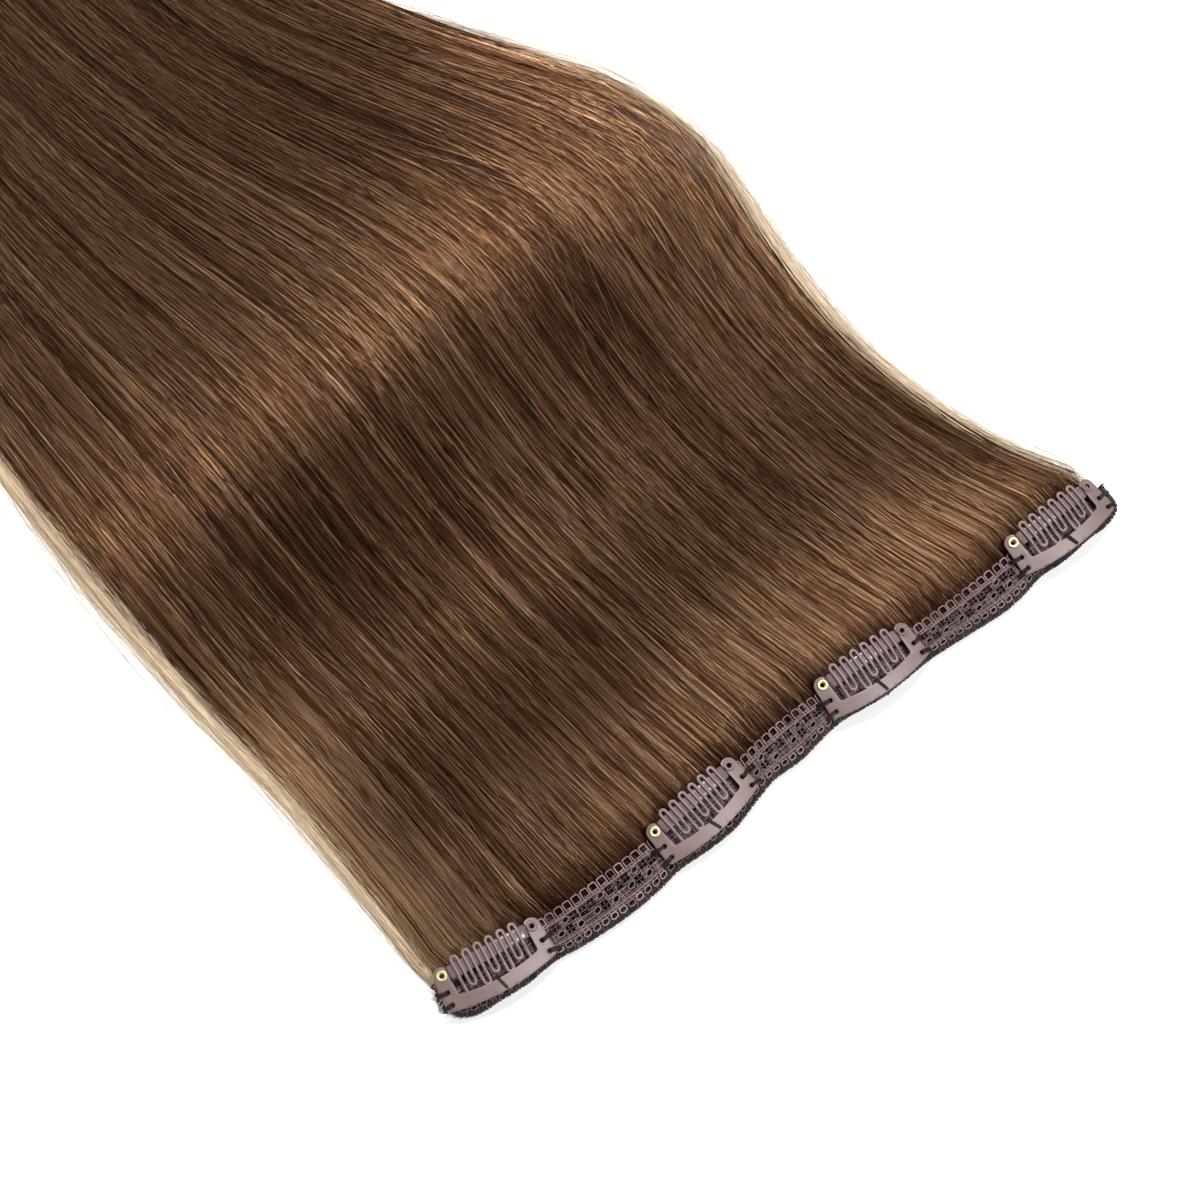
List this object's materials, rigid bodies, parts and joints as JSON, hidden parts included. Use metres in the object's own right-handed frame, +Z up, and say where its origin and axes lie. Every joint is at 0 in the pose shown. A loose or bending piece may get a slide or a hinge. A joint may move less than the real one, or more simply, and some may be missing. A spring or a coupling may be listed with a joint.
{
  "type": "clip in hair extension",
  "caption": "Clip-in hair extension weft: straight brown hair sewn under a pierced lace band that carries snap comb clips.",
  "frame": {"origin": "the middle of the whole footprint, on the surface that the weft lies on", "axes": "+X along the lace band, +Y from the band towards the ends of the hair, +Z up, the side that the clips are on"},
  "size_m": [0.2469, 0.4618, 0.014],
  "materials": {
    "painted_steel": "satin paint over spring steel",
    "brass": "polished",
    "silicone": "clear glossy silicone",
    "lace": "mauve-brown polyester galloon",
    "seam_thread": "dark brown sewing thread",
    "hair": "straight glossy medium brown hair fibre"
  },
  "bodies": {
    "weft": {"hair": "hair", "weft_seam": "seam_thread", "lace_band": "lace", "clip_1_plate": "painted_steel", "clip_1_bar": "painted_steel", "clip_1_grip": "silicone", "clip_1_brass_eyelet": "brass", "clip_1_painted_eyelet": "painted_steel", "clip_2_plate": "painted_steel", "clip_2_bar": "painted_steel", "clip_2_grip": "silicone", "clip_2_brass_eyelet": "brass", "clip_2_painted_eyelet": "painted_steel", "clip_3_plate": "painted_steel", "clip_3_bar": "painted_steel", "clip_3_grip": "silicone", "clip_3_brass_eyelet": "brass", "clip_3_painted_eyelet": "painted_steel", "clip_4_plate": "painted_steel", "clip_4_bar": "painted_steel", "clip_4_grip": "silicone", "clip_4_brass_eyelet": "brass", "clip_4_painted_eyelet": "painted_steel"},
    "comb_1": {"clip_1_comb": "painted_steel"},
    "comb_2": {"clip_2_comb": "painted_steel"},
    "comb_3": {"clip_3_comb": "painted_steel"},
    "comb_4": {"clip_4_comb": "painted_steel"}
  },
  "joints": [
    {"name": "clip_1_opening", "type": "hinge", "parent": "weft", "child": "comb_1", "pos_m": [-0.09043, -0.22369, 0.00791], "axis": [0.9888, -0.1495, 0], "range_deg": [0, 40]},
    {"name": "clip_2_opening", "type": "hinge", "parent": "weft", "child": "comb_2", "pos_m": [-0.02062, -0.22507, 0.00791], "axis": [0.9974, 0.0715, 0], "range_deg": [0, 40]},
    {"name": "clip_3_opening", "type": "hinge", "parent": "weft", "child": "comb_3", "pos_m": [0.03925, -0.22314, 0.00791], "axis": [0.9985, -0.0541, 0], "range_deg": [0, 40]},
    {"name": "clip_4_opening", "type": "hinge", "parent": "weft", "child": "comb_4", "pos_m": [0.10703, -0.22356, 0.00791], "axis": [1, -0.007, 0], "range_deg": [0, 40]}
  ]
}
